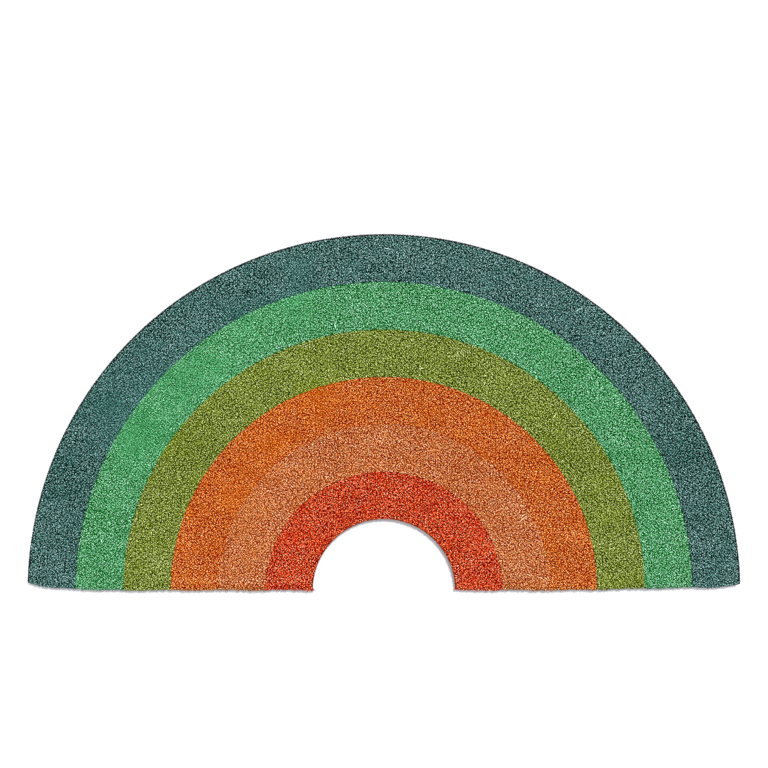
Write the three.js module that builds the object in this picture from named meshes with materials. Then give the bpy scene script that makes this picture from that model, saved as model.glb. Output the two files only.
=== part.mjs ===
// Rainbow-shaped doormat: brushed coir pile on a thin fused backing, cut in one piece to a half ring.
// Millimetres, +Z up. +X runs from the left foot to the right foot, and +Y from the feet to the arch's top.
// The origin is the middle of the mat's own box, on the underside.

import * as THREE from "three";

// Driving dimensions
const ARCH_RADIUS = 76.2; // the open arch between the two feet
const BAND_WIDTH = 50.8; // each printed band, measured across the rainbow
const THICKNESS = 15; // backing and pile together
const BACKING_THICKNESS = 2.5; // the part of it that is backing

// The six printed bands, from the open arch outwards. They are colour alone, on one level of pile.
const BANDS = [
  { name: "brick red", colour: 0xc04a2e },
  { name: "tan", colour: 0xc07043 },
  { name: "orange", colour: 0xc0632d },
  { name: "olive", colour: 0x78863c },
  { name: "green", colour: 0x559967 },
  { name: "slate teal", colour: 0x496b67 },
];
const OUTER_RADIUS = ARCH_RADIUS + BANDS.length * BAND_WIDTH;

// The cut edge from the floor up: how far it stands in from the outline at each height.
// The backing stands in a little, the pile spreads over it, and its upper rim is worn round.
const EDGE_PROFILE = [
  { height: 0, inset: 1 },
  { height: BACKING_THICKNESS, inset: 1 },
  { height: 5, inset: 0 },
  { height: 12, inset: 0 },
  { height: 14.1, inset: 0.7 },
];
const TOP_INSET = 2.2; // where the worn rim meets the walking face

// Each foot is cut almost straight. Further out the cut climbs by lift, and the outer corner is trimmed away.
const FEET = {
  right: { liftFrom: 175, liftTo: 345, lift: 2.9, cornerFrom: 345, cornerTrim: 3.3, cornerPower: 1.5 },
  left: { liftFrom: 300, liftTo: 342, lift: 2.4, cornerFrom: 355, cornerTrim: 6, cornerPower: 1.5 },
};
const FOOT_REACH = 60; // how far up each leg the uneven cut is still felt
const RAGGED_HEIGHT = 0.45; // the knife's wander along each foot
const RAGGED_LENGTH = 62;

// The walking face is brushed level, with shallow hollows where the pile lies closer.
const HOLLOW_DEPTH = 0.7;
const HOLLOWS = [
  { length: 97, heading: 0.3, start: 0.4 },
  { length: 71, heading: 1.7, start: 2.1 },
  { length: 58, heading: 2.6, start: 4.0 },
];

// How finely the surface is divided
const ARCH_STEPS = 80;
const ROWS_PER_BAND = 3;
const CORNER_ROWS = [8, 3]; // extra rows this far inside the outer edge, for the trimmed corners

const { clamp, smoothstep } = THREE.MathUtils;

/** The radius of each row of points, from the open arch outwards. */
function rowRadii() {
  const rows = BANDS.length * ROWS_PER_BAND;
  const spacing = BAND_WIDTH / ROWS_PER_BAND;
  const even = Array.from({ length: rows }, (_, row) => ARCH_RADIUS + row * spacing);
  return [...even, ...CORNER_ROWS.map((inside) => OUTER_RADIUS - inside), OUTER_RADIUS];
}

const ROW_RADII = rowRadii();
const LAST_ROW = ROW_RADII.length - 1;

/** How far the uneven cut of the feet moves a point of the plan up the leg. */
function footCut(x, y) {
  const foot = x > 0 ? FEET.right : FEET.left;
  const out = Math.abs(x);
  const climb = foot.lift * smoothstep(out, foot.liftFrom, foot.liftTo);
  const pastCorner = clamp((out - foot.cornerFrom) / (OUTER_RADIUS - foot.cornerFrom), 0, 1);
  const trim = foot.cornerTrim * pastCorner ** foot.cornerPower;
  const ragged = RAGGED_HEIGHT * (1 + Math.sin((2 * Math.PI * x) / RAGGED_LENGTH));
  const felt = clamp(1 - y / FOOT_REACH, 0, 1) ** 2;
  return (climb + trim + ragged) * felt;
}

/** The plan's point at a step along the arch and a row across it. A point on the outline is drawn in by inset. */
function planPoint(step, row, inset) {
  const angle = (Math.PI * step) / ARCH_STEPS;
  const fromArch = row === 0 ? inset : 0;
  const fromRim = row === LAST_ROW ? inset : 0;
  const fromFoot = step === 0 || step === ARCH_STEPS ? inset : 0;
  const radius = ROW_RADII[row] + fromArch - fromRim;
  const x = radius * Math.cos(angle);
  const y = radius * Math.sin(angle);
  return new THREE.Vector2(x, y + fromFoot + footCut(x, y));
}

/** The height of the walking face over a point of the plan: level, less the mean of a few shallow waves. */
function walkingFace(point) {
  const waves = HOLLOWS.map(({ length, heading, start }) => {
    const along = point.x * Math.cos(heading) + point.y * Math.sin(heading);
    return 0.5 + 0.5 * Math.sin((2 * Math.PI * along) / length + start);
  });
  const depth = waves.reduce((sum, wave) => sum + wave, 0) / waves.length;
  return THICKNESS - HOLLOW_DEPTH * depth;
}

/** Steps and rows of the outline's points, in order: right foot, outer rim, left foot, open arch. */
function outline() {
  const rightFoot = Array.from({ length: LAST_ROW }, (_, i) => ({ step: 0, row: i }));
  const outerRim = Array.from({ length: ARCH_STEPS }, (_, i) => ({ step: i, row: LAST_ROW }));
  const leftFoot = Array.from({ length: LAST_ROW }, (_, i) => ({ step: ARCH_STEPS, row: LAST_ROW - i }));
  const openArch = Array.from({ length: ARCH_STEPS }, (_, i) => ({ step: ARCH_STEPS - i, row: 0 }));
  return [...rightFoot, ...outerRim, ...leftFoot, ...openArch];
}

/** The mat as one closed surface: walking face, cut edge and flat underside. */
function matGeometry() {
  const positions = [];
  const faces = [];
  const addQuad = (a, b, c, d) => faces.push(a, b, c, a, c, d);
  const addPoint = (point, z) => positions.push(point.x, point.y, z) / 3 - 1;

  const topIndex = (step, row) => step * (LAST_ROW + 1) + row;
  for (let step = 0; step <= ARCH_STEPS; step++) {
    for (let row = 0; row <= LAST_ROW; row++) {
      const point = planPoint(step, row, TOP_INSET);
      addPoint(point, walkingFace(point));
    }
  }
  for (let step = 0; step < ARCH_STEPS; step++) {
    for (let row = 0; row < LAST_ROW; row++) {
      const next = step + 1;
      addQuad(topIndex(step, row), topIndex(step, row + 1), topIndex(next, row + 1), topIndex(next, row));
    }
  }

  const rim = outline();
  const levels = EDGE_PROFILE.map(({ height, inset }) =>
    rim.map(({ step, row }) => addPoint(planPoint(step, row, inset), height)),
  );
  levels.push(rim.map(({ step, row }) => topIndex(step, row)));
  for (let level = 0; level + 1 < levels.length; level++) {
    const lower = levels[level];
    const upper = levels[level + 1];
    for (let i = 0; i < rim.length; i++) {
      const next = (i + 1) % rim.length;
      addQuad(lower[i], lower[next], upper[next], upper[i]);
    }
  }

  const underside = rim.map(({ step, row }) => planPoint(step, row, EDGE_PROFILE[0].inset));
  for (const [a, b, c] of THREE.ShapeUtils.triangulateShape(underside, [])) {
    faces.push(levels[0][a], levels[0][c], levels[0][b]);
  }

  const geometry = new THREE.BufferGeometry();
  geometry.setAttribute("position", new THREE.Float32BufferAttribute(positions, 3));
  geometry.setIndex(faces);
  return geometry;
}

/** Gives each triangle the colour of the band that it lies in, measured from the arcs' common centre. */
function paintBands(geometry) {
  const painted = geometry.toNonIndexed();
  const place = painted.getAttribute("position");
  const colours = [];
  for (let i = 0; i < place.count; i += 3) {
    const x = (place.getX(i) + place.getX(i + 1) + place.getX(i + 2)) / 3;
    const y = (place.getY(i) + place.getY(i + 1) + place.getY(i + 2)) / 3;
    const band = clamp(Math.floor((Math.hypot(x, y) - ARCH_RADIUS) / BAND_WIDTH), 0, BANDS.length - 1);
    const colour = new THREE.Color(BANDS[band].colour);
    for (let corner = 0; corner < 3; corner++) colours.push(colour.r, colour.g, colour.b);
  }
  painted.setAttribute("color", new THREE.Float32BufferAttribute(colours, 3));
  painted.computeVertexNormals();
  return painted;
}

/** Moves the geometry so that the middle of its box, on the underside, is the origin. */
function standOnOrigin(geometry) {
  geometry.computeBoundingBox();
  const { min, max } = geometry.boundingBox;
  geometry.translate(-(min.x + max.x) / 2, -(min.y + max.y) / 2, -min.z);
  return geometry;
}

const coirMat = new THREE.Mesh(
  standOnOrigin(paintBands(matGeometry())),
  new THREE.MeshStandardMaterial({ vertexColors: true, roughness: 0.95, metalness: 0 }),
);
coirMat.name = "coir_mat";

const doormat = new THREE.Group();
doormat.add(coirMat);

export default doormat;
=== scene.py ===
"""Rainbow-shaped doormat: brushed coir pile, printed in bands, on a thin fused backing.

Everything is in metres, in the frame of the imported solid: +Z up, +X from the left foot to the right
foot, +Y from the feet to the top of the arch. The arcs of the rainbow share one centre, which lies
on the line of the feet.
"""

import logging
from abc import ABC, abstractmethod
from dataclasses import astuple, dataclass
from enum import Enum
from functools import partialmethod
from typing import ClassVar, Union

import bpy
import numpy as np
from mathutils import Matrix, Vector


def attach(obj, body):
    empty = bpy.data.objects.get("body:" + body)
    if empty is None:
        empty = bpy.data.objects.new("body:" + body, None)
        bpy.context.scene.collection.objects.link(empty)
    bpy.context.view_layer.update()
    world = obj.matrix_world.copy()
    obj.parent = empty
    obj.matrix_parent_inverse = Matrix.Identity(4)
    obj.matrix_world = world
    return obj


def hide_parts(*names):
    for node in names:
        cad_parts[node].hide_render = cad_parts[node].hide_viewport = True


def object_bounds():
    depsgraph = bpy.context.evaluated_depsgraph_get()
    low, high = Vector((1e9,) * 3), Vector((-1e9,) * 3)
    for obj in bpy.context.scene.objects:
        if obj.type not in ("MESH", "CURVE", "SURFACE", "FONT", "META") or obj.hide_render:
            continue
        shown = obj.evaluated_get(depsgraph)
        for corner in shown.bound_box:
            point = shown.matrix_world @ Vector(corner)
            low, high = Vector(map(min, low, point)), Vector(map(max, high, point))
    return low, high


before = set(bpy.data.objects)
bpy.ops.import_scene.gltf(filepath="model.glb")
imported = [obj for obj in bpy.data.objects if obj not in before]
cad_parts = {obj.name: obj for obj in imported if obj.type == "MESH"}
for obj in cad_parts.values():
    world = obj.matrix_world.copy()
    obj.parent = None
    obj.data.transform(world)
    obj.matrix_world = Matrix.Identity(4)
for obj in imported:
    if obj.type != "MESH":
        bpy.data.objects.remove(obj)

log = logging.getLogger("doormat")

Array = np.ndarray
Random = np.random.Generator
Piece = bpy.types.Object
Socket = bpy.types.NodeSocket
Pair = tuple[float, float]
Colour = tuple[float, float, float]
Stops = list[tuple[float, Colour]]
Places = tuple[Array, Array, Array]
Number = Union[float, "Expression"]
Paint = Union[Colour, Socket]

MM = 0.001
CAD_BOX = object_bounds()
MAT_NODE = "coir_mat"
UV_MAP = "OFBake"
CLOSENESS = "closeness"
BODY = "root"

# The part of the colour map that the fibres use, across and upwards
ON_MAP = (0.02, 0.98)

# How far along a fibre its rings of points lie
SPINDLE = (0.55,)
COLUMN = (0.12, 0.84)

# Dry coir hardly shines
COIR_ROUGHNESS = 0.9
COIR_GLOSS = 0.1

LIGHTEST = 255


def linear(red: float, green: float, blue: float) -> Colour:
    """The scene-linear colour of three display values from 0 to 255, by a display's usual curve."""
    shown = np.array([red, green, blue]) / LIGHTEST
    return tuple(np.where(shown <= 0.04045, shown / 12.92, ((shown + 0.055) / 1.055) ** 2.4).tolist())


class Band(Enum):
    """The six printed bands, from the open arch outwards."""

    BRICK_RED = 0
    TAN = 1
    ORANGE = 2
    OLIVE = 3
    GREEN = 4
    SLATE_TEAL = 5


@dataclass(frozen=True)
class Ink:
    """One band's ink, as display values of the band under the studio's light, how far its darker and
    lighter tones spread, and what share of that the lighter ones take."""

    red: int
    green: int
    blue: int
    spread: float = 1.5
    lighter: float = 1.0

    BALANCE: ClassVar[float] = 1.1
    LIMITS: ClassVar[Pair] = (1, 250)

    @property
    def lightness(self) -> float:
        """How light the ink looks, from 0 to 255."""
        return 0.2126 * self.red + 0.7152 * self.green + 0.0722 * self.blue

    def tone(self, lift: float) -> Colour:
        """The ink on a fibre that is lighter than the band by about lift. Each channel moves by lift
        times the spread less BALANCE times its own share of white, so that light fibres look paler:
        partly thinner ink, and partly a painted sheen, the white highlight of dry fibres.

        Args:
            lift: in display values, below 0 for darker.

        Returns:
            The scene-linear colour of the surface.
        """
        channels = np.array([self.red, self.green, self.blue])
        share = self.lighter if lift > 0 else 1.0
        moved = channels + share * lift * (self.spread - self.BALANCE * channels / LIGHTEST)
        return linear(*np.clip(moved, *self.LIMITS))

    def dimmed(self, share: float) -> Colour:
        """The ink in shade, at a share of its display values."""
        return linear(self.red * share, self.green * share, self.blue * share)


INKS = {
    Band.BRICK_RED: Ink(244, 88, 29, 2.12, 0.85),
    Band.TAN: Ink(222, 145, 80, 1.62),
    Band.ORANGE: Ink(223, 129, 37, 1.64),
    Band.OLIVE: Ink(156, 169, 69, 1.58),
    Band.GREEN: Ink(111, 187, 132, 1.62),
    Band.SLATE_TEAL: Ink(93, 140, 132, 1.64),
}
BARE_COIR = Ink(176, 130, 78)

# The tones of a band's fibres, in display values from the band's own; the lighter ones also carry a painted
# sheen
TONES = (-109, -55, 0, 43, 85)


@dataclass(frozen=True)
class FootCut:
    """How one foot's cut strays from a straight line: it climbs by lift, and its corner is trimmed."""

    lift_from: float
    lift_to: float
    lift: float
    corner_from: float
    corner_trim: float
    corner_power: float

    def rise(self, out: Array, outer: float) -> Array:
        """The climb is a smooth step, 3 t^2 - 2 t^3, and the trim is a power of the way to the rim.

        Args:
            out: distances from the arcs' centre along X.
            outer: the mat's outer radius.

        Returns:
            How far the cut lies up the leg.
        """
        step = np.clip((out - self.lift_from) / (self.lift_to - self.lift_from), 0, 1)
        past = np.clip((out - self.corner_from) / (outer - self.corner_from), 0, 1)
        return self.lift * step**2 * (3 - 2 * step) + self.corner_trim * past**self.corner_power


@dataclass(frozen=True)
class Hollow:
    """A shallow wave of the brushed face: its length, its heading in radians, and where it starts."""

    length: float
    heading: float
    start: float

    def at(self, x: Array, y: Array) -> Array:
        """A sine of the way along the heading, brought between 0 and 1."""
        along = x * np.cos(self.heading) + y * np.sin(self.heading)
        return 0.5 + 0.5 * np.sin(2 * np.pi * along / self.length + self.start)


@dataclass(frozen=True)
class MatPlan:
    """The mat seen from above: a half ring with two feet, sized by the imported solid."""

    outer: float = CAD_BOX[1].x
    centre_y: float = CAD_BOX[0].y
    top: float = CAD_BOX[1].z
    arch: float = 76.2 * MM
    backing: float = 2.5 * MM
    right: FootCut = FootCut(175 * MM, 345 * MM, 2.9 * MM, 345 * MM, 3.3 * MM, 1.5)
    left: FootCut = FootCut(300 * MM, 342 * MM, 2.4 * MM, 355 * MM, 6 * MM, 1.5)
    foot_reach: float = 60 * MM
    ragged_height: float = 0.45 * MM
    ragged_length: float = 62 * MM
    nick_height: float = 0.16 * MM
    nick_lengths: tuple[float, ...] = (15.1 * MM, 10.3 * MM, 6.7 * MM)
    hollow_depth: float = 0.7 * MM
    hollows: tuple[Hollow, ...] = (
        Hollow(97 * MM, 0.3, 0.4),
        Hollow(71 * MM, 1.7, 2.1),
        Hollow(58 * MM, 2.6, 4.0),
    )

    @property
    def band_width(self) -> float:
        """The width of one printed band."""
        return (self.outer - self.arch) / len(Band)

    @property
    def area(self) -> float:
        """The flat area of the cut."""
        return float(np.pi / 2 * (self.outer**2 - self.arch**2))

    def foot_cut(self, x: Array, y: Array) -> Array:
        """How far the uneven cut of the feet moves points up the leg: climb, trimmed corner, the
        knife's wander and its nicks, fading with the square of the distance from the foot.

        Args:
            x, y: places measured from the arcs' centre.

        Returns:
            The move along +Y at each place.
        """
        out = np.abs(x)
        nicks = sum(np.sin(2 * np.pi * x / length) for length in self.nick_lengths)
        ragged = self.ragged_height * (1 + np.sin(2 * np.pi * x / self.ragged_length))
        ragged = ragged + self.nick_height * nicks
        felt = np.clip(1 - y / self.foot_reach, 0, 1) ** 2
        rise = np.where(x > 0, self.right.rise(out, self.outer), self.left.rise(out, self.outer))
        return (rise + ragged) * felt

    def placed(self, points: Array) -> Array:
        """Points measured from the arcs' centre, put into the mat's frame with the cut of the feet."""
        move = self.foot_cut(points[:, 0], points[:, 1]) + self.centre_y
        return points + np.outer(move, [0, 1, 0])

    def face_height(self, x: Array, y: Array) -> Array:
        """The height of the brushed face: level, less the mean of the shallow waves."""
        depth = sum(hollow.at(x, y) for hollow in self.hollows) / len(self.hollows)
        return self.top - self.hollow_depth * depth

    def held_in(self, points: Array, low: Array, high: Array, slack: Array) -> Array:
        """Keeps fibres between two radii, and no more than slack past the feet's line.

        Args:
            points: places measured from the arcs' centre.
            low, high: each fibre's least and greatest radius.
            slack: how far each fibre may stand out over the feet's line.

        Returns:
            The places, moved where they lay further out.
        """
        radius = np.hypot(points[:, 0], points[:, 1])
        wanted = np.clip(radius, low, high)
        held = points.copy()
        held[:, :2] *= (wanted / radius)[:, None]
        held[:, 1] = np.maximum(held[:, 1], -slack)
        return held

    def grid(self, steps: int, rows: int, inset: float) -> Array:
        """Points on arcs of evenly spaced radii, each from the right foot's line to the left foot's.

        Args:
            steps, rows: how many steps there are along an arc, and from the open arch to the rim.
            inset: how far in from every edge the points stay.

        Returns:
            An array of steps + 1 by rows + 1 places, measured from the arcs' centre.
        """
        radius = np.linspace(self.arch + inset, self.outer - inset, rows + 1)[None, :]
        start = np.arcsin(inset / radius)
        angle = start + (np.pi - 2 * start) * np.linspace(0, 1, steps + 1)[:, None]
        return np.stack([radius * np.cos(angle), radius * np.sin(angle)], axis=-1)


PLAN = MatPlan()


@dataclass(frozen=True)
class Patch:
    """A soft oval patch of the pile: its middle and half sizes in millimetres, measured from the arcs'
    centre, and how strongly it shows."""

    x: float
    y: float
    half_x: float
    half_y: float
    strength: float

    def at(self, x: Array, y: Array) -> Array:
        """The strength times e to the power of minus the squared distance, counted in half sizes."""
        along, across = (x / MM - self.x) / self.half_x, (y / MM - self.y) / self.half_y
        return self.strength * np.exp(-(along**2) - across**2)


@dataclass(frozen=True)
class Mottle:
    """A mottling that runs in all directions: its size, its middle wavelength, and which one it is."""

    size: float
    length: float
    seed: int

    WAVES: ClassVar[int] = 12
    LENGTHS: ClassVar[Pair] = (0.6, 1.6)

    def at(self, x: Array, y: Array) -> Array:
        """The sum of the waves' sines, over the root of half their number, times the size.

        Args:
            x, y: places.

        Returns:
            The mottling at each place.
        """
        rng = np.random.default_rng(self.seed)
        turns = rng.uniform(0, 2 * np.pi, self.WAVES)
        starts = rng.uniform(0, 2 * np.pi, self.WAVES)
        lengths = self.length * rng.uniform(*self.LENGTHS, self.WAVES)
        along = np.multiply.outer(x, np.cos(turns)) + np.multiply.outer(y, np.sin(turns))
        phase = 2 * np.pi * along / lengths + starts
        return self.size * (np.sin(phase).sum(-1) / np.sqrt(self.WAVES / 2))


def new_piece(name: str, points: Array, faces: list[list[int]], uv: Array | None = None) -> Piece:
    """A mesh shaded smooth and its object, at the origin, in the scene.

    Args:
        name: the piece's name.
        points: its vertices, n by 3.
        faces: each face's vertex numbers.
        uv: each vertex's place on the colour map, for a piece of triangles alone.

    Returns:
        The object.
    """
    mesh = bpy.data.meshes.new(name)
    mesh.from_pydata(points.tolist(), [], faces)
    mesh.shade_smooth()
    if uv is not None:
        layer = mesh.uv_layers.new(name=UV_MAP)
        layer.uv.foreach_set("vector", uv[np.array(faces)].astype(np.float32).ravel())
    mesh.validate()
    piece = bpy.data.objects.new(name, mesh)
    bpy.context.scene.collection.objects.link(piece)
    return piece


@dataclass
class Slab(ABC):
    """A closed layer of the mat: a face that follows height, a cut edge, and a flat underside. The
    profile holds the cut edge's heights and insets, from the floor up, and face_inset is the face's."""

    name: str
    steps: int
    rows: int
    profile: tuple[Pair, ...]
    face_inset: float

    @abstractmethod
    def height(self, x: Array, y: Array) -> Array:
        """The face's height at places measured from the arcs' centre."""

    @staticmethod
    def border(grid: Array) -> Array:
        """A grid's outermost entries in order: right foot, outer rim, left foot, open arch."""
        return np.concatenate([grid[0, :-1], grid[:-1, -1], grid[-1, :0:-1], grid[:0:-1, 0]])

    def ring(self, height: float, inset: float) -> Array:
        """The outline at one height, drawn in by inset."""
        outline = self.border(PLAN.grid(self.steps, self.rows, inset))
        return np.column_stack([outline, np.full(len(outline), height)])

    def shape(self) -> Piece:
        """Lays the face, the rings of the cut edge below its rim, and one flat face as the underside.

        Returns:
            The bare piece.
        """
        face = PLAN.grid(self.steps, self.rows, self.face_inset)
        face = np.dstack([face, self.height(face[..., 0], face[..., 1])])
        index = np.arange(face.shape[0] * face.shape[1]).reshape(face.shape[:2])
        a, b, c, d = index[:-1, :-1], index[:-1, 1:], index[1:, 1:], index[1:, :-1]
        triangles = [np.stack([a, b, c], -1).reshape(-1, 3), np.stack([a, c, d], -1).reshape(-1, 3)]
        rings = [self.ring(height, inset) for height, inset in self.profile]
        points = np.concatenate([face.reshape(-1, 3), *rings])
        count = len(rings[0])
        levels = [index.size + level * count + np.arange(count) for level in range(len(rings))]
        levels.append(self.border(index))
        for lower, upper in zip(levels, levels[1:]):
            triangles.append(np.stack([lower, np.roll(lower, -1), np.roll(upper, -1)], -1))
            triangles.append(np.stack([lower, np.roll(upper, -1), upper], -1))
        underside = levels[0][::-1].tolist()
        piece = new_piece(self.name, PLAN.placed(points), [*np.concatenate(triangles).tolist(), underside])
        piece.data.polygons[-1].use_smooth = False
        return piece


@dataclass
class Fibres:
    """Many fibres at once. Each runs along a parabola: it leaves root towards bend and ends at tip.
    clear is how far up the colour map its root starts: 0 for a root in full painted shade, 1 for none."""

    root: Array
    bend: Array
    tip: Array
    width: Array
    shade: Array
    clear: Array

    # How far a ring's points lie apart on the colour map, across and upwards, so that no face is flat
    MAP_SPREAD: ClassVar[Pair] = (0.004, 0.04)

    def joined(self, others: "Fibres") -> "Fibres":
        """These fibres and the others together."""
        return Fibres(*(np.concatenate(both) for both in zip(vars(self).values(), vars(others).values())))

    def along(self, t: float) -> tuple[Array, Array]:
        """The parabola (1 - t)^2 root + 2 t (1 - t) bend + t^2 tip, and its direction.

        Args:
            t: how far along, from 0 to 1.

        Returns:
            Each fibre's place and unit direction there.
        """
        place = (1 - t) ** 2 * self.root + 2 * t * (1 - t) * self.bend + t**2 * self.tip
        way = (1 - t) * (self.bend - self.root) + t * (self.tip - self.bend)
        return place, way / np.linalg.norm(way, axis=1, keepdims=True)

    def build(self, name: str, seed: int, rings: tuple[float, ...]) -> Piece:
        """Each fibre is closed: a point at the root, rings of three points a third of a turn apart, and
        a point at the tip. On the colour map a fibre is a narrow upright strip: its shade across, its
        length upwards.

        Args:
            name: the piece's name.
            seed: for how each fibre is turned about its own line.
            rings: how far along the rings lie.

        Returns:
            The piece.
        """
        count = len(self.root)
        size = 2 + 3 * len(rings)
        reference = np.random.default_rng(seed).normal(size=(count, 3))
        points = np.empty((count, size, 3))
        points[:, 0] = self.root
        points[:, -1] = self.tip
        for number, t in enumerate(rings):
            place, way = self.along(t)
            side = np.cross(way, reference)
            side /= np.linalg.norm(side, axis=1, keepdims=True)
            other = np.cross(way, side)
            for corner in range(3):
                turn = 2 * np.pi * corner / 3
                around = np.cos(turn) * side + np.sin(turn) * other
                points[:, 1 + 3 * number + corner] = place + around * self.width[:, None] / 2
        sides = ((0, 1), (1, 2), (2, 0))
        last = size - 4
        pattern = [[0, 1 + b, 1 + a] for a, b in sides]
        for low in range(1, last, 3):
            for a, b in sides:
                pattern += [[low + a, low + b, low + 3 + b], [low + a, low + 3 + b, low + 3 + a]]
        pattern += [[last + a, last + b, size - 1] for a, b in sides]
        triangles = (np.arange(count)[:, None, None] * size + np.array(pattern)).reshape(-1, 3)
        across, upwards = self.MAP_SPREAD
        spread = np.array([-1, *[-1, 0, 1] * len(rings), 1]) * across
        height = np.array([0, *[t + upwards * (corner - 1) for t in rings for corner in range(3)], 1])
        low, high = ON_MAP
        clear = self.clear[:, None]
        uv = np.empty((count, size, 2))
        uv[..., 0] = np.clip(self.shade[:, None] + spread, 0, 1)
        uv[..., 1] = low + (high - low) * (clear + (1 - clear) * height)
        return new_piece(name, PLAN.placed(points.reshape(-1, 3)), triangles.tolist(), uv.reshape(-1, 2))


class Shader:
    """One material's node tree, with shader maths written as expressions."""

    # The Mix node's sockets for its factor and its two colours, and for what comes out
    MIX_INPUTS: ClassVar[tuple[int, int, int]] = (0, 6, 7)
    MIXED: ClassVar[int] = 2

    def __init__(self, name: str) -> None:
        """Starts an empty material.

        Args:
            name: the material's name.
        """
        self.material = bpy.data.materials.new(name)
        self.material.use_nodes = True
        self.tree = self.material.node_tree
        self.tree.nodes.clear()

    def node(
        self,
        kind: str,
        inputs: dict | None = None,
        stops: Stops | None = None,
        interpolation: str = "LINEAR",
        **settings: object,
    ) -> bpy.types.Node:
        """Adds a node, sets its choices first, and then fills or links its sockets.

        Args:
            kind: the node's type.
            inputs: socket name or number to a value, a socket or an Expression.
            stops: a colour ramp's places and colours.
            interpolation: how a ramp's colours run between its stops.
            settings: the node's own choices, such as operation.

        Returns:
            The node.
        """
        made = self.tree.nodes.new(kind)
        for name, value in settings.items():
            setattr(made, name, value)
        if stops:
            ramp = made.color_ramp
            ramp.interpolation = interpolation
            while len(ramp.elements) < len(stops):
                ramp.elements.new(0.5)
            for element, (place, colour) in zip(ramp.elements, stops):
                element.position = place
                element.color = (*colour, 1.0)
        for name, value in (inputs or {}).items():
            socket = made.inputs[name]
            value = value.socket if isinstance(value, Expression) else value
            if isinstance(value, Socket):
                self.tree.links.new(value, socket)
            elif socket.type == "RGBA":
                socket.default_value = (*value, 1.0)
            else:
                socket.default_value = value
        return made

    def number(self, output: str, kind: str, inputs: dict | None = None, **settings: str) -> "Expression":
        """One output of a new node, as an expression."""
        return Expression(self, self.node(kind, inputs, **settings).outputs[output])

    def axes(self, vector: Socket) -> list["Expression"]:
        """A vector's three numbers."""
        parts = self.node("ShaderNodeSeparateXYZ", {"Vector": vector})
        return [Expression(self, parts.outputs[axis]) for axis in "XYZ"]

    def on_map(self) -> list["Expression"]:
        """The place on the piece's colour map: across, and up."""
        return self.axes(self.node("ShaderNodeUVMap", uv_map=UV_MAP).outputs["UV"])[:2]

    def ramp(self, factor: Number, stops: Stops, interpolation: str = "LINEAR") -> Socket:
        """A colour ramp's colour at factor."""
        return self.node("ShaderNodeValToRGB", {"Fac": factor}, stops, interpolation).outputs["Color"]

    def bands(self, across: Number, colours: list[Colour]) -> Socket:
        """The six bands' colours side by side, where across is 0 at the open arch and 1 at the rim."""
        stops = [(number / len(Band), colour) for number, colour in enumerate(colours)]
        return self.ramp(across, stops, "CONSTANT")

    def mix(self, factor: Number, first: Paint, second: Paint, blend: str = "MIX") -> Socket:
        """Two colours mixed, where factor is the second one's share."""
        inputs = dict(zip(self.MIX_INPUTS, (factor, first, second)))
        return self.node("ShaderNodeMix", inputs, data_type="RGBA", blend_type=blend).outputs[self.MIXED]

    def dimmed(self, colour: Paint, share: Number) -> Socket:
        """A colour, channel by channel, times a share."""
        grey = self.node("ShaderNodeCombineColor", {0: share, 1: share, 2: share})
        return self.mix(1.0, colour, grey.outputs[0], "MULTIPLY")

    def finish(self, **sockets: Number | Paint) -> bpy.types.Material:
        """Ends the tree in one principled surface.

        Args:
            sockets: the surface's sockets by name, with _ for a blank.

        Returns:
            The material.
        """
        inputs = {name.replace("_", " "): value for name, value in sockets.items()}
        surface = self.node("ShaderNodeBsdfPrincipled", inputs)
        self.node("ShaderNodeOutputMaterial", {"Surface": surface.outputs["BSDF"]})
        return self.material


class Expression:
    """A number in a node tree. Arithmetic on it adds Math nodes."""

    def __init__(self, shader: Shader, socket: Socket) -> None:
        """Wraps the socket of a shader's tree that gives the number."""
        self.shader = shader
        self.socket = socket

    def math(self, operation: str, *others: Number) -> "Expression":
        """A Math node over self and the others."""
        values = dict(enumerate((self, *others)))
        return self.shader.number("Value", "ShaderNodeMath", values, operation=operation)

    def reflected(self, operation: str, other: Number) -> "Expression":
        """A Math node over other and self."""
        return self.shader.number("Value", "ShaderNodeMath", {0: other, 1: self}, operation=operation)

    __add__ = partialmethod(math, "ADD")
    __radd__ = partialmethod(reflected, "ADD")
    __sub__ = partialmethod(math, "SUBTRACT")
    __rsub__ = partialmethod(reflected, "SUBTRACT")
    __mul__ = partialmethod(math, "MULTIPLY")
    __rmul__ = partialmethod(reflected, "MULTIPLY")
    __truediv__ = partialmethod(math, "DIVIDE")
    __rtruediv__ = partialmethod(reflected, "DIVIDE")
    __pow__ = partialmethod(math, "POWER")
    __rpow__ = partialmethod(reflected, "POWER")

    def clamped(self) -> "Expression":
        """self held between 0 and 1."""
        return self.math("MAXIMUM", 0.0).math("MINIMUM", 1.0)

    def fraction(self) -> "Expression":
        """What is left of self above the next lower whole number."""
        return self.math("FRACT")


@dataclass(frozen=True)
class PrintedPile:
    """The finish of one band's pile. Across the colour map a fibre's shade runs from the darkest to the
    lightest tone of the ink, and up the map the fibre clears from its root, which is painted darker as
    the shade deep in the pile."""

    band: Band
    root_shade: float = 0.5
    clear_by: float = 0.55

    def material(self) -> bpy.types.Material:
        """Builds the finish.

        Returns:
            The material.
        """
        shader = Shader(f"printed_coir_{self.band.name.lower()}")
        across, up = shader.on_map()
        tones = [INKS[self.band].tone(lift) for lift in TONES]
        places = np.linspace(*ON_MAP, len(tones)).tolist()
        colour = shader.ramp(across, list(zip(places, tones)))
        # Painted shade: the root is darkened as the shade that falls deep in the pile
        clear = self.root_shade + (1 - self.root_shade) * (up / self.clear_by).clamped()
        shaded = shader.dimmed(colour, clear)
        return shader.finish(Base_Color=shaded, Roughness=COIR_ROUGHNESS, Specular_IOR_Level=COIR_GLOSS)


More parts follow.
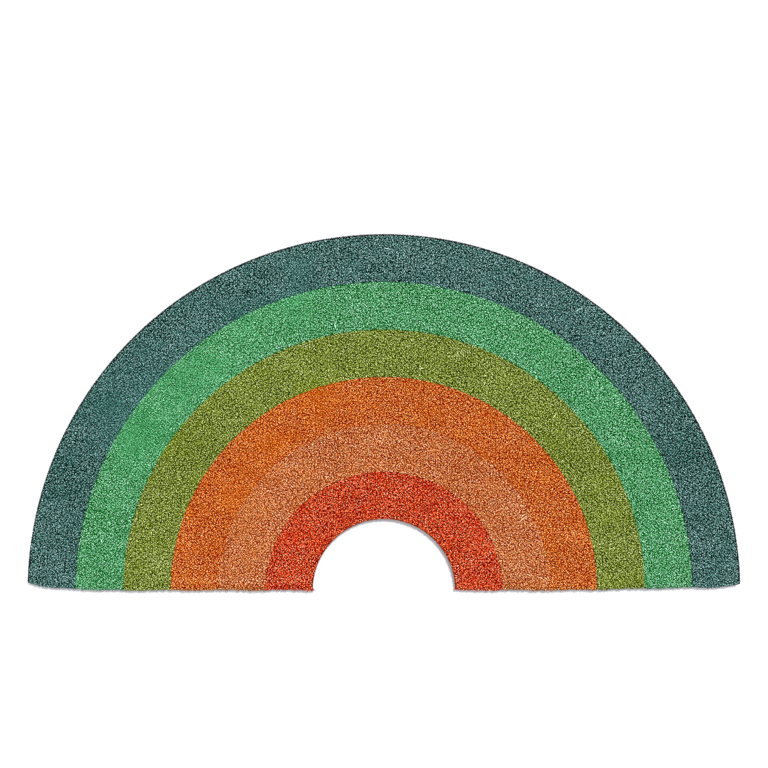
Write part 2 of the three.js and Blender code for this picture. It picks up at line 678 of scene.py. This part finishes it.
@dataclass(frozen=True)
class CutEdge:
    """The finish of the fibres at the cut edge: bare coir that the print has reached only near the top.
    There the print is the ink dimmed by painted shade of the cut edge, to the shares at_arch and at_rim.
    Across the colour map lie the six bands side by side, each from dark to light fibres, and up the map
    is a fibre's height. bare holds the bare coir's places from dark to light, and its tones there."""

    name: str
    at_arch: Pair
    at_rim: Pair
    reached_from: float = 0.2
    reached_over: float = 0.2
    bare: tuple[Pair, ...] = ((0.1, -70), (0.5, 0), (0.9, 45))

    def share(self, band: Band, side: int) -> float:
        """How far painted shade dims a band's darkest (side 0) or lightest (side 1) fibres, from arch to
        rim.
        """
        outwards = band.value / (len(Band) - 1)
        return (1 - outwards) * self.at_arch[side] + outwards * self.at_rim[side]

    def inks(self, side: int) -> list[Colour]:
        """The colours of the bands' darkest (side 0) or lightest (side 1) fibres."""
        return [INKS[band].dimmed(self.share(band, side)) for band in Band]

    def material(self) -> bpy.types.Material:
        """Builds the finish.

        Returns:
            The material.
        """
        shader = Shader(self.name)
        across, up = shader.on_map()
        # The bands' inks, dimmed as painted shade of the cut edge
        dark, light = (shader.bands(across, self.inks(side)) for side in (0, 1))
        within = (across * len(Band)).fraction()
        bare = shader.ramp(within, [(place, BARE_COIR.tone(lift)) for place, lift in self.bare])
        reached = ((up - self.reached_from) / self.reached_over).clamped()
        colour = shader.mix(reached, bare, shader.mix(within, dark, light))
        return shader.finish(Base_Color=colour, Roughness=COIR_ROUGHNESS, Specular_IOR_Level=COIR_GLOSS)


@dataclass(frozen=True)
class PileBed:
    """The finish of the closed pile under the loose fibres: each band's print, darkened as painted shade of
    the gaps between the fibres, less so where the pile lies closer, and bare coir below. A grain as fine
    as the fibres varies its tone and relief."""

    fibre: float = 0.9 * MM
    # The bed shows only between the fibres: its print is darkened to this tone as painted shade of the gaps,
    # and only to clear where the pile lies close
    gap_shade: float = -126
    clear: float = -18
    bare: float = -70
    bare_below: float = 6 * MM
    bare_over: float = 2 * MM
    grain_detail: float = 3.0
    grain_roughness: float = 0.6
    least_tone: float = 0.5
    tone_gain: float = 0.6
    relief: float = 1 * MM
    relief_strength: float = 0.8
    roughness: float = 0.95

    def material(self) -> bpy.types.Material:
        """Builds the finish. The distance from the arcs' centre gives the band.

        Returns:
            The material.
        """
        shader = Shader("pile_bed")
        place = shader.node("ShaderNodeTexCoord").outputs["Object"]
        centred = shader.node("ShaderNodeVectorMath", {0: place, 1: (0, -PLAN.centre_y, 0)}, operation="ADD")
        x, y, z = shader.axes(centred.outputs[0])
        across = ((x * x + y * y) ** 0.5 - PLAN.arch) / (PLAN.band_width * len(Band))
        # Painted shade: the bands in the gaps' shade, and clearer where the pile lies close
        tones = [[ink.tone(lift) for ink in INKS.values()] for lift in (self.gap_shade, self.clear)]
        gap_shade, clear = (shader.bands(across, tone) for tone in tones)
        close = shader.number("Fac", "ShaderNodeAttribute", attribute_name=CLOSENESS)
        scale = {"Scale": 1 / self.fibre, "Detail": self.grain_detail, "Roughness": self.grain_roughness}
        grain = shader.number("Fac", "ShaderNodeTexNoise", {"Vector": place, **scale})
        high = ((z - self.bare_below) / self.bare_over).clamped()
        colour = shader.mix(high, BARE_COIR.tone(self.bare), shader.mix(close, gap_shade, clear))
        relief = {"Height": grain, "Distance": self.relief, "Strength": self.relief_strength}
        return shader.finish(
            Base_Color=shader.dimmed(colour, grain * self.tone_gain + self.least_tone),
            Roughness=self.roughness,
            Specular_IOR_Level=COIR_GLOSS,
            Normal=shader.node("ShaderNodeBump", relief).outputs["Normal"],
        )


@dataclass(frozen=True)
class FusedVinyl:
    """The finish of the backing: dark matt vinyl with a fine pebbled emboss and a faint bloom, which
    pales and roughens it."""

    pebble: float = 2.2 * MM
    dark: Colour = linear(44, 40, 37)
    worn: Colour = linear(70, 65, 60)
    bloom_scale: float = 18.0
    bloom_detail: float = 5.0
    bloom_share: float = 0.8
    pebble_share: float = 0.5
    stays_dark: float = 0.2
    roughness: float = 0.62
    bloom_roughness: float = 0.25
    gloss: float = 0.4
    emboss: float = 0.3 * MM
    emboss_strength: float = 0.5

    def material(self) -> bpy.types.Material:
        """Builds the finish.

        Returns:
            The material.
        """
        shader = Shader("fused_vinyl")
        place = shader.node("ShaderNodeTexCoord").outputs["Object"]
        pebbles = {"Vector": place, "Scale": 1 / self.pebble}
        height = shader.number("Distance", "ShaderNodeTexVoronoi", pebbles)
        scale = {"Scale": self.bloom_scale, "Detail": self.bloom_detail}
        bloom = shader.number("Fac", "ShaderNodeTexNoise", {"Vector": place, **scale})
        wear = (bloom * self.bloom_share + height * self.pebble_share - self.stays_dark).clamped()
        emboss = {"Height": 1 - height, "Distance": self.emboss, "Strength": self.emboss_strength}
        return shader.finish(
            Base_Color=shader.mix(wear, self.dark, self.worn),
            Roughness=self.roughness + self.bloom_roughness * bloom,
            Specular_IOR_Level=self.gloss,
            Normal=shader.node("ShaderNodeBump", emboss).outputs["Normal"],
        )


@dataclass
class Backing(Slab):
    """The thin vinyl layer that the coir is fused into, with a small bevel above and below."""

    name: str = "vinyl_backing"
    steps: int = 240
    rows: int = 30
    profile: tuple[Pair, ...] = (
        (0.0, 1.25 * MM),
        (0.3 * MM, 1.0 * MM),
        (PLAN.backing - 0.3 * MM, 1.0 * MM),
    )
    face_inset: float = 1.3 * MM

    def height(self, x: Array, y: Array) -> Array:
        """The layer's level top."""
        return np.full_like(x, PLAN.backing)

    def build(self) -> Piece:
        """Makes the layer and dresses it.

        Returns:
            The piece.
        """
        piece = self.shape()
        piece.data.materials.append(FusedVinyl().material())
        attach(piece, BODY)
        return piece


@dataclass
class Bed(Slab):
    """The closed lower pile, which fills the mat between the backing and the loose fibres."""

    name: str = "pile_bed"
    steps: int = 220
    rows: int = 60
    profile: tuple[Pair, ...] = ((PLAN.backing - 0.2 * MM, 1.3 * MM), (PLAN.backing + 3.8 * MM, 1.0 * MM))
    face_inset: float = 2.0 * MM
    level: float = 9.5 * MM
    lumps: Mottle = Mottle(0.8 * MM, 7 * MM, 3)

    def height(self, x: Array, y: Array) -> Array:
        """Level, with lumps that run in all directions."""
        return self.level + self.lumps.at(x, y)

    def build(self) -> Piece:
        """Makes the bed, notes at each point how close the pile over it lies, and dresses it.

        Returns:
            The piece.
        """
        piece = self.shape()
        points = np.empty(3 * len(piece.data.vertices))
        piece.data.vertices.foreach_get("co", points)
        x, y = points[0::3], points[1::3] - PLAN.centre_y
        closeness = piece.data.attributes.new(CLOSENESS, "FLOAT", "POINT")
        closeness.data.foreach_set("value", WEAR.closeness(x, y))
        piece.data.materials.append(PileBed().material())
        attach(piece, BODY)
        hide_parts(MAT_NODE)
        return piece


@dataclass(frozen=True)
class PileWear:
    """How the brushed pile differs from place to place: a faint mottling, drawn out along the mat,
    lighter and darker patches, two faint darker rows across the right leg, and close patches, where
    the pile lies closer and more even, with a mottling of their own, evening."""

    mottling: tuple[Mottle, ...] = (Mottle(0.012, 45 * MM, 11), Mottle(0.017, 17 * MM, 12))
    stretch: float = 2.2
    shaded: tuple[Patch, ...] = (
        Patch(-335, 125, 34, 52, -0.055),
        Patch(-221, 142, 38, 36, -0.05),
        Patch(335, 155, 46, 34, -0.04),
        Patch(215, 143, 165, 5.5, -0.07),
        Patch(212, 75, 42, 5.5, -0.05),
        Patch(350, 75, 26, 6.5, -0.045),
        Patch(90, 116, 40, 16, -0.04),
        Patch(10, 356, 130, 18, 0.03),
        Patch(165, 318, 60, 30, 0.02),
        Patch(160, 60, 60, 26, 0.03),
        Patch(300, 52, 60, 9, 0.035),
        Patch(-175, 250, 50, 30, 0.02),
        Patch(-148, 9.5, 75, 3.5, 0.12),
        Patch(-130, 2.5, 52, 2.5, -0.12),
        Patch(-245, 32, 11, 11, 0.1),
    )
    close: tuple[Patch, ...] = (
        Patch(-266, 166, 36, 32, 0.5),
        Patch(-191, 238, 30, 28, 0.45),
        Patch(-236, 216, 30, 30, 0.38),
        Patch(-293, 203, 22, 22, 0.32),
        Patch(-98, 308, 20, 22, 0.45),
        Patch(-73, 214, 24, 22, 0.35),
        Patch(-150, 288, 26, 20, 0.35),
        Patch(-150, 92, 26, 26, 0.28),
        Patch(-92, 344, 14, 16, 0.35),
        Patch(-121, 150, 22, 22, 0.28),
    )
    evening: tuple[Mottle, ...] = (Mottle(0.035, 55 * MM, 13), Mottle(0.045, 24 * MM, 14))
    least_close: float = 0.03
    least_uneven: float = 0.2

    def lift(self, x: Array, y: Array) -> Array:
        """What is added to the fibres' shade: the mottling and the shaded patches."""
        mottling = sum(mottle.at(x / self.stretch, y) for mottle in self.mottling)
        return mottling + sum(patch.at(x, y) for patch in self.shaded)

    def closeness(self, x: Array, y: Array) -> Array:
        """How close the pile lies: 1, less its unevenness, which the mottling and patches lower."""
        mottled = 1 - self.least_close - sum(mottle.at(x, y) for mottle in self.evening)
        return 1 - np.clip(mottled - sum(patch.at(x, y) for patch in self.close), self.least_uneven, 1)


WEAR = PileWear()


@dataclass(frozen=True)
class LooseFibre:
    """A long pale fibre that lies on the brushed face: its middle in millimetres, measured from the
    arcs' centre, its heading in degrees, and its length in millimetres."""

    x: float
    y: float
    heading: float
    length: float


LOOSE_FIBRES = (
    LooseFibre(147.5, 75.6, 39, 20),
    LooseFibre(-302.3, 53.1, 113, 9),
    LooseFibre(3.6, 366.1, 172, 11),
    LooseFibre(182.3, 186.3, 52, 11),
    LooseFibre(232.6, 216.3, 60, 10),
    LooseFibre(-52.1, 282.6, 105, 10),
    LooseFibre(206.9, 299.8, 30, 10),
    LooseFibre(40.0, 237.7, 8, 10),
    LooseFibre(249.7, 201.3, 15, 10),
    LooseFibre(78.5, 253.7, 75, 9),
)


@dataclass(frozen=True)
class LayerPlan:
    """How one layer of loose fibres lies.

    rise and run are how far a fibre comes up and lies over, depth is how far its bend lies below the
    face, at least and on average past that, shade is the middle and spread of the shades, and
    close_lift is what the middle gains where the pile lies closest.
    """

    prefix: str
    spacing: float
    width: Pair
    rise: Pair
    run: Pair
    depth: Pair
    shade: Pair
    close_lift: float


class Layer(Enum):
    """The two layers of loose fibres."""

    # Painted shade: the under layer's middle shade is lower than the top's, as the shade on the deeper
    # fibres
    UNDER = LayerPlan(
        prefix="under_pile",
        spacing=1.9 * MM,
        width=(0.8 * MM, 1.2 * MM),
        rise=(2.0 * MM, 3.6 * MM),
        run=(1.0 * MM, 2.5 * MM),
        depth=(1.6 * MM, 0.6 * MM),
        shade=(0.37, 0.19),
        close_lift=0.02,
    )
    TOP = LayerPlan(
        prefix="brushed_pile",
        spacing=1.8 * MM,
        width=(0.65 * MM, 0.95 * MM),
        rise=(1.4 * MM, 2.6 * MM),
        run=(1.0 * MM, 2.7 * MM),
        depth=(0.4 * MM, 0.35 * MM),
        shade=(0.57, 0.2),
        # Painted shade: where the pile lies close and its gaps are few, the top fibres are painted darker in
        # place of the gaps' shade
        close_lift=-0.37,
    )


@dataclass
class BandPile:
    """One layer of the loose fibres of one printed band.

    jitter is a share of the grid's spacing, and turn_share is how far light and dark go by turns on it.
    A zone is how far in from an edge or border fibres still differ, and a lift is what that adds to
    their shade. The gaps and rim keep fibres inside the outline and under the face. At the feet
    out_share of them lean out. Sizes named most are multiples of an average, those named close hold
    where the pile lies closest, and the scatters, lean and tilt are angles or slopes.
    """

    band: Band
    layer: Layer
    jitter: float = 0.34
    turn_share: float = 0.9
    foot_gap: float = 0.4 * MM
    foot_zone: float = 7 * MM
    out_share: float = 0.7
    out_scatter: float = 0.6
    onward_scatter: float = 0.7
    overhang: float = 0.5 * MM
    overhang_most: float = 3
    rim: float = 0.8 * MM
    rim_zone: float = 2.5 * MM
    rim_fade: float = 1.5
    crossing: float = 0.35 * MM
    border_zone: float = 1.3 * MM
    border_share: float = 0.3
    # Painted shade along the edges: fibres near the rims and the feet are a little darker
    rim_lift: float = -0.03
    foot_lift: float = -0.01
    lean: Pair = (0.35, 1.0)
    tilt: Pair = (-0.02, 0.12)
    depth_most: float = 4
    face_gap: float = 0.1 * MM
    close_lean: float = 0.45
    close_width: float = 0.5
    close_clear: float = 0.75
    loose_width: float = 0.95 * MM
    loose_height: float = 0.3 * MM
    loose_shade: float = 0.85
    loose_clear: float = 0.5

    FIRST_SEED: ClassVar[int] = 100
    TURNING_SEED: ClassVar[int] = 500

    @property
    def seed(self) -> int:
        """A number of its own for each band and layer."""
        return self.FIRST_SEED + 10 * self.band.value + list(Layer).index(self.layer)

    def places(self, rng: Random) -> Places:
        """One place for each fibre: a square grid with each point moved at random, cut to the band.

        Args:
            rng: the layer's random numbers.

        Returns:
            x and y, measured from the arcs' centre, and -1 or 1 by turns.
        """
        step = self.layer.value.spacing
        outer = PLAN.arch + (self.band.value + 1) * PLAN.band_width
        x, y = np.meshgrid(np.arange(-outer, outer + step, step), np.arange(0, outer + step, step))
        turns = 1 - 2 * (np.indices(x.shape).sum(0).ravel() % 2)
        x = x.ravel() + rng.uniform(-self.jitter, self.jitter, x.size) * step
        y = y.ravel() + rng.uniform(-self.jitter, self.jitter, y.size) * step
        low, high = self.limits()
        radius = np.hypot(x, y)
        keep = (radius > low) & (radius < high) & (y > self.foot_gap)
        return x[keep], y[keep], turns[keep]

    def limits(self) -> Pair:
        """The radii between which the band's fibres have their bends.

        Returns:
            The band's own radii, drawn in at the mat's edges.
        """
        inner = PLAN.arch + self.band.value * PLAN.band_width
        outer = inner + PLAN.band_width
        low = inner + (self.rim if self.band is Band.BRICK_RED else 0)
        high = outer - (self.rim if self.band is Band.SLATE_TEAL else 0)
        return low, high

    def border_lift(self, radius: Array) -> Array:
        """The print is crisp: next to a darker band the outermost fibres show a little lighter, and
        next to a lighter one a little darker.

        Args:
            radius: each fibre's distance from the arcs' centre.

        Returns:
            What is added to each fibre's shade.
        """
        lift = np.zeros_like(radius)
        for step, border in ((-1, self.limits()[0]), (1, self.limits()[1])):
            number = self.band.value + step
            if 0 <= number < len(Band):
                contrast = INKS[self.band].lightness - INKS[Band(number)].lightness
                near = np.abs(radius - border) < self.border_zone
                lift += near * self.border_share * contrast / (TONES[-1] - TONES[0])
        return lift

    def shades(self, rng: Random, places: Places, near_foot: Array) -> Array:
        """The layer's middle shade, plus the spread times what goes by turns and by chance, plus the
        wear, and the lifts at the mat's edges and the print's borders.

        Args:
            rng: the layer's random numbers.
            places: x and y, and -1 or 1 by turns.
            near_foot: 1 at the feet's line, and 0 past the foot zone.

        Returns:
            Each fibre's place across the colour map.
        """
        x, y, turns = places
        plan = self.layer.value
        close = WEAR.closeness(x, y)
        radius = np.hypot(x, y)
        from_rim = np.minimum(radius - PLAN.arch, PLAN.outer - radius)
        near_rim = np.clip(self.rim_fade - from_rim / self.rim_zone, 0, 1)
        middle = plan.shade[0] + close * plan.close_lift
        spread = (1 - close) * plan.shade[1]
        uneven = self.turn_share * turns + (1 - self.turn_share**2) ** 0.5 * rng.normal(size=len(x))
        edges = self.rim_lift * near_rim + self.foot_lift * near_foot
        shade = middle + spread * uneven + WEAR.lift(x, y) + edges + self.border_lift(radius)
        first, last = ON_MAP
        return np.clip(first + (last - first) * shade, first, last)

    def fibres(self) -> Fibres:
        """Each fibre rises from its root to its bend, just under the brushed face, and runs on nearly
        level in about the same heading. Near the feet more of them lean out over the cut. The print is
        laid on the finished pile, so fibres hardly cross a border.

        Returns:
            The fibres.
        """
        rng = np.random.default_rng(self.seed)
        plan = self.layer.value
        x, y, turns = self.places(rng)
        count = len(x)
        near_foot = np.clip(1 - y / self.foot_zone, 0, 1)
        heading = rng.uniform(0, 2 * np.pi, count)
        outward = -np.pi / 2 + rng.normal(0, self.out_scatter, count)
        heading = np.where(rng.uniform(size=count) < self.out_share * near_foot, outward, heading)
        onward = heading + rng.normal(0, self.onward_scatter, count)
        close = WEAR.closeness(x, y)
        lean = rng.uniform(*self.lean, count) + close * self.close_lean
        rise = rng.uniform(*plan.rise, count)
        run = rng.uniform(*plan.run, count)
        least, more = plan.depth
        drop = least + (1 - close) * np.minimum(rng.exponential(more, count), self.depth_most * more)
        tilt = (1 - close) * rng.normal(*self.tilt, count)
        face = PLAN.face_height(x, y)
        bend = np.column_stack([x, y, face - drop])
        back = -np.sin(lean)
        down = np.column_stack([np.cos(heading) * back, np.sin(heading) * back, -np.cos(lean)])
        root = bend + down * rise[:, None]
        tip = bend + np.column_stack([np.cos(onward), np.sin(onward), tilt]) * run[:, None]
        tip[:, 2] = np.minimum(tip[:, 2], face - self.face_gap)
        shade = self.shades(rng, (x, y, turns), near_foot)
        width = rng.uniform(*plan.width, count) * (1 + close * self.close_width)
        slack = np.minimum(rng.exponential(self.overhang, count), self.overhang_most * self.overhang)
        low, high = self.limits()
        low = low - (self.band is not Band.BRICK_RED) * np.abs(rng.normal(0, self.crossing, count))
        high = high + (self.band is not Band.SLATE_TEAL) * np.abs(rng.normal(0, self.crossing, count))
        root, bend, tip = (PLAN.held_in(points, low, high, slack) for points in (root, bend, tip))
        return Fibres(root, bend, tip, width, shade, close * self.close_clear)

    def loose_fibres(self) -> Fibres:
        """The long pale fibres that lie on this band. Each is a flat bow over the brushed face.

        Returns:
            The fibres.
        """
        x, y, heading, length = np.array([astuple(fibre) for fibre in LOOSE_FIBRES]).T
        x, y, turn, half = x * MM, y * MM, np.radians(heading), length * MM / 2
        low, high = self.limits()
        radius = np.hypot(x, y)
        mine = (radius > low) & (radius < high) & (self.layer is Layer.TOP)
        middle = np.column_stack([x, y, PLAN.face_height(x, y)])[mine]
        way = np.column_stack([np.cos(turn) * half, np.sin(turn) * half, 0 * half])[mine]
        bow = np.array([0, 0, self.loose_height])
        looks = (self.loose_width, self.loose_shade, self.loose_clear)
        width, shade, clear = (np.full(len(middle), value) for value in looks)
        return Fibres(middle - way - bow, middle + bow, middle + way - bow, width, shade, clear)

    def build(self) -> Piece:
        """Makes the layer's fibres and dresses them.

        Returns:
            The piece.
        """
        name = f"{self.layer.value.prefix}_{self.band.name.lower()}"
        fibres = self.fibres().joined(self.loose_fibres())
        piece = fibres.build(name, self.seed + self.TURNING_SEED, SPINDLE)
        piece.data.materials.append(PrintedPile(self.band).material())
        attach(piece, BODY)
        return piece


@dataclass
class EdgeFibres(ABC):
    """The upright fibres that show along a stretch of the cut edge, from the backing up to the face.

    flare is how far tops stand out on average, and flare_most how many times that at most. Roots stand
    foot_inset further in, and a bend lies out by the share belly of it. scatter is a share of the
    spacing. shade is the middle and spread of shades within a band's strip of the colour map.
    """

    name: str
    finish: CutEdge
    seed: int
    flare: float
    flare_most: float = 4
    spacing: float = 0.8 * MM
    layers: int = 3
    width: Pair = (0.7 * MM, 1.1 * MM)
    low: Pair = (2.2 * MM, 6.0 * MM)
    high: Pair = (11.2 * MM, 14.0 * MM)
    foot_inset: float = 1.0 * MM
    belly: float = 0.35
    layer_step: float = 0.45 * MM
    scatter: float = 0.5
    sway: float = 0.7 * MM
    shade: Pair = (0.5, 0.2)
    shade_limits: Pair = (0.06, 0.94)

    @abstractmethod
    def outline(self) -> Places:
        """Where the fibres stand.

        Returns:
            Places and unit directions, measured from the arcs' centre, and how far the tops reach out.
        """

    def build(self) -> Piece:
        """Each fibre is a slim column that leans out as it rises, so that its top is what reaches the
        outline. Layers stand one behind the other, each a step further in.

        Returns:
            The piece.
        """
        rng = np.random.default_rng(self.seed)
        places, outward, reach = (np.repeat(part, self.layers, axis=0) for part in self.outline())
        count = len(places)
        layer = np.tile(np.arange(self.layers), count // self.layers)
        along = np.stack([-outward[:, 1], outward[:, 0]], 1)
        width = rng.uniform(*self.width, count)
        inside = width / 2 + self.layer_step * layer - reach
        scatter = rng.uniform(-self.scatter, self.scatter, count) * self.spacing
        base = places + along * scatter[:, None]
        sway = rng.normal(0, self.sway, count)
        flare = rng.exponential(self.flare, count) if self.flare else np.zeros(count)
        low = rng.uniform(*self.low, count)
        high = rng.uniform(*self.high, count)
        root = np.column_stack([base - outward * (inside + self.foot_inset)[:, None], low])
        top = base - outward * (inside - np.minimum(flare, self.flare_most * self.flare))[:, None]
        tip = np.column_stack([top + along * sway[:, None], high])
        bend = (root + tip) / 2
        bend[:, :2] += outward * (self.belly * self.foot_inset)
        band = ((np.hypot(*base.T) - PLAN.arch) / PLAN.band_width).astype(int)
        within = np.clip(rng.normal(*self.shade, count), *self.shade_limits)
        shade = (np.clip(band, 0, len(Band) - 1) + within) / len(Band)
        fibres = Fibres(root, bend, tip, width, shade, np.zeros(count))
        piece = fibres.build(self.name, self.seed + 1, COLUMN)
        piece.data.materials.append(self.finish.material())
        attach(piece, BODY)
        return piece


@dataclass
class RimFibres(EdgeFibres):
    """The fibres along the two curved edges."""

    name: str = "rim_fibres"
    finish: CutEdge = CutEdge("rim_coir", (0.5, 0.7), (0.3, 0.5))
    seed: int = 51
    flare: float = 0.0
    spacing: float = 0.7 * MM
    scatter: float = 0.3
    sway: float = 0.3 * MM
    rim_reach: float = 1.3 * MM
    arch_reach: float = 0.4 * MM

    def outline(self) -> Places:
        """Places along the outer rim and the open arch, and the way out of the mat at each.

        Returns:
            What the base class says.
        """
        places, outward, reach = [], [], []
        for radius, way, past in ((PLAN.outer, 1, self.rim_reach), (PLAN.arch, -1, self.arch_reach)):
            angle = np.arange(0, np.pi, self.spacing / radius)
            ring = np.stack([np.cos(angle), np.sin(angle)], 1)
            places.append(radius * ring)
            outward.append(way * ring)
            reach.append(np.full(len(angle), past))
        return np.concatenate(places), np.concatenate(outward), np.concatenate(reach)


@dataclass
class FootFibres(EdgeFibres):
    """The fibres along the cut of the two feet."""

    name: str = "foot_fibres"
    finish: CutEdge = CutEdge("foot_coir", (0.5, 0.8), (0.5, 0.8))
    seed: int = 61
    flare: float = 0.35 * MM
    reach: float = 0.7 * MM

    def outline(self) -> Places:
        """Places along the line of the feet, and the way out of the mat.

        Returns:
            What the base class says.
        """
        foot = np.arange(PLAN.arch, PLAN.outer, self.spacing)
        x = np.concatenate([foot, -foot])
        places = np.stack([x, np.zeros_like(x)], 1)
        return places, np.tile([0.0, -1.0], (len(x), 1)), np.full(len(x), self.reach)


@dataclass
class Studio:
    """The pale floor, the soft lights and the camera straight above, at the photograph's distance."""

    floor_side: float = 12.0
    floor_colour: Colour = (0.54, 0.54, 0.54)
    floor_roughness: float = 0.9
    seen_width: float = 0.8219
    aim: Pair = (0.0001, 0.03064)
    lens: float = 85.0
    sky: float = 1.28
    sky_colour: Colour = (0.95, 0.98, 1.05)
    key: float = 1.22
    key_size: float = 10.0
    key_from: Pair = (64.0, 71.0)
    sensor: float = 36.0
    pixel_filter: float = 1.46

    def floor(self) -> None:
        """A wide pale floor under the mat."""
        half = self.floor_side / 2
        corners = np.array([[-half, -half, 0], [half, -half, 0], [half, half, 0], [-half, half, 0]])
        ground = new_piece("floor", corners, [[0, 1, 2], [0, 2, 3]])
        paint = {"Base_Color": self.floor_colour, "Roughness": self.floor_roughness}
        ground.data.materials.append(Shader("floor_paint").finish(**paint, Specular_IOR_Level=0.0))

    def lights(self) -> None:
        """A bright even sky, and one large soft lamp from the upper right."""
        world = bpy.data.worlds.new("sky")
        bpy.context.scene.world = world
        world.use_nodes = True
        background = world.node_tree.nodes["Background"]
        background.inputs["Color"].default_value = (*self.sky_colour, 1)
        background.inputs["Strength"].default_value = self.sky
        lamp = bpy.data.lights.new("key", "SUN")
        lamp.angle = np.radians(self.key_size)
        lamp.energy = self.key * np.pi
        holder = bpy.data.objects.new("key", lamp)
        turn, height = np.radians(self.key_from)
        towards = Vector((np.cos(turn) * np.cos(height), np.sin(turn) * np.cos(height), np.sin(height)))
        holder.rotation_euler = towards.to_track_quat("Z", "Y").to_euler()
        bpy.context.scene.collection.objects.link(holder)

    def camera(self) -> None:
        """The camera looks straight down. Its distance gives the photograph's width at the pile's face."""
        data = bpy.data.cameras.new("above")
        data.lens = self.lens
        data.sensor_width = self.sensor
        camera = bpy.data.objects.new("above", data)
        camera.location = (*self.aim, PLAN.top + self.seen_width * self.lens / self.sensor)
        bpy.context.scene.collection.objects.link(camera)
        bpy.context.scene.camera = camera

    def build(self) -> None:
        """Sets the whole studio up."""
        self.floor()
        self.lights()
        self.camera()
        bpy.context.scene.view_settings.view_transform = "Standard"
        bpy.context.scene.cycles.filter_width = self.pixel_filter
        bpy.context.scene.cycles.use_denoising = False


def main() -> None:
    """Builds the mat from the floor up, then the studio."""
    logging.basicConfig(level=logging.INFO, format="%(message)s")
    backing = Backing().build()
    bed = Bed().build()
    piles = [BandPile(band, layer).build() for band in Band for layer in Layer]
    rim = RimFibres().build()
    feet = FootFibres().build()
    for piece in (backing, bed, *piles, rim, feet):
        piece.data.calc_loop_triangles()
        log.info("%s: %d triangles", piece.name, len(piece.data.loop_triangles))
    Studio().build()


if __name__ == "__main__":
    main()
